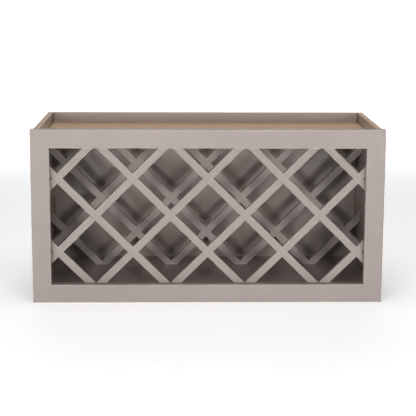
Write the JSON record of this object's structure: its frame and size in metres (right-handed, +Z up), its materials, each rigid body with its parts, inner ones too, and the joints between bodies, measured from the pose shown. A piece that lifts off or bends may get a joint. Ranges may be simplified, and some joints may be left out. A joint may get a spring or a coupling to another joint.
{
  "type": "wall wine rack",
  "caption": "Wall-hung wine rack cabinet: a framed open box that stores bottles lying in the square cells of two half-lapped diagonal lattices, one behind the other.",
  "frame": {"origin": "middle of the cabinet's base, at the bottom of its bounding box", "axes": "+X to the right along the width, +Y from the front to the wall, +Z up"},
  "size_m": [0.762, 0.3048, 0.381],
  "materials": {
    "painted_frame": "satin greige paint on hardwood",
    "painted_slat": "satin greige paint on hardwood",
    "painted_panel": "satin greige paint on plywood, edges raw",
    "veneer_panel": "clear-coated wood veneer on plywood",
    "nail_steel": "bright wire"
  },
  "bodies": {
    "root": {"left_stile": "painted_frame", "right_stile": "painted_frame", "top_rail": "painted_frame", "bottom_rail": "painted_frame", "left_side_panel": "painted_panel", "right_side_panel": "painted_panel", "top_panel": "veneer_panel", "bottom_panel": "painted_panel", "back_panel": "painted_panel", "back_panel_nails": "nail_steel", "side_panel_nails": "nail_steel", "front_rising_slat_1": "painted_slat", "front_rising_slat_2": "painted_slat", "front_rising_slat_3": "painted_slat", "front_rising_slat_4": "painted_slat", "front_rising_slat_5": "painted_slat", "front_rising_slat_6": "painted_slat", "front_falling_slat_1": "painted_slat", "front_falling_slat_2": "painted_slat", "front_falling_slat_3": "painted_slat", "front_falling_slat_4": "painted_slat", "front_falling_slat_5": "painted_slat", "front_falling_slat_6": "painted_slat", "rear_rising_slat_1": "painted_slat", "rear_rising_slat_2": "painted_slat", "rear_rising_slat_3": "painted_slat", "rear_rising_slat_4": "painted_slat", "rear_rising_slat_5": "painted_slat", "rear_rising_slat_6": "painted_slat", "rear_falling_slat_1": "painted_slat", "rear_falling_slat_2": "painted_slat", "rear_falling_slat_3": "painted_slat", "rear_falling_slat_4": "painted_slat", "rear_falling_slat_5": "painted_slat", "rear_falling_slat_6": "painted_slat"}
  },
  "joints": []
}
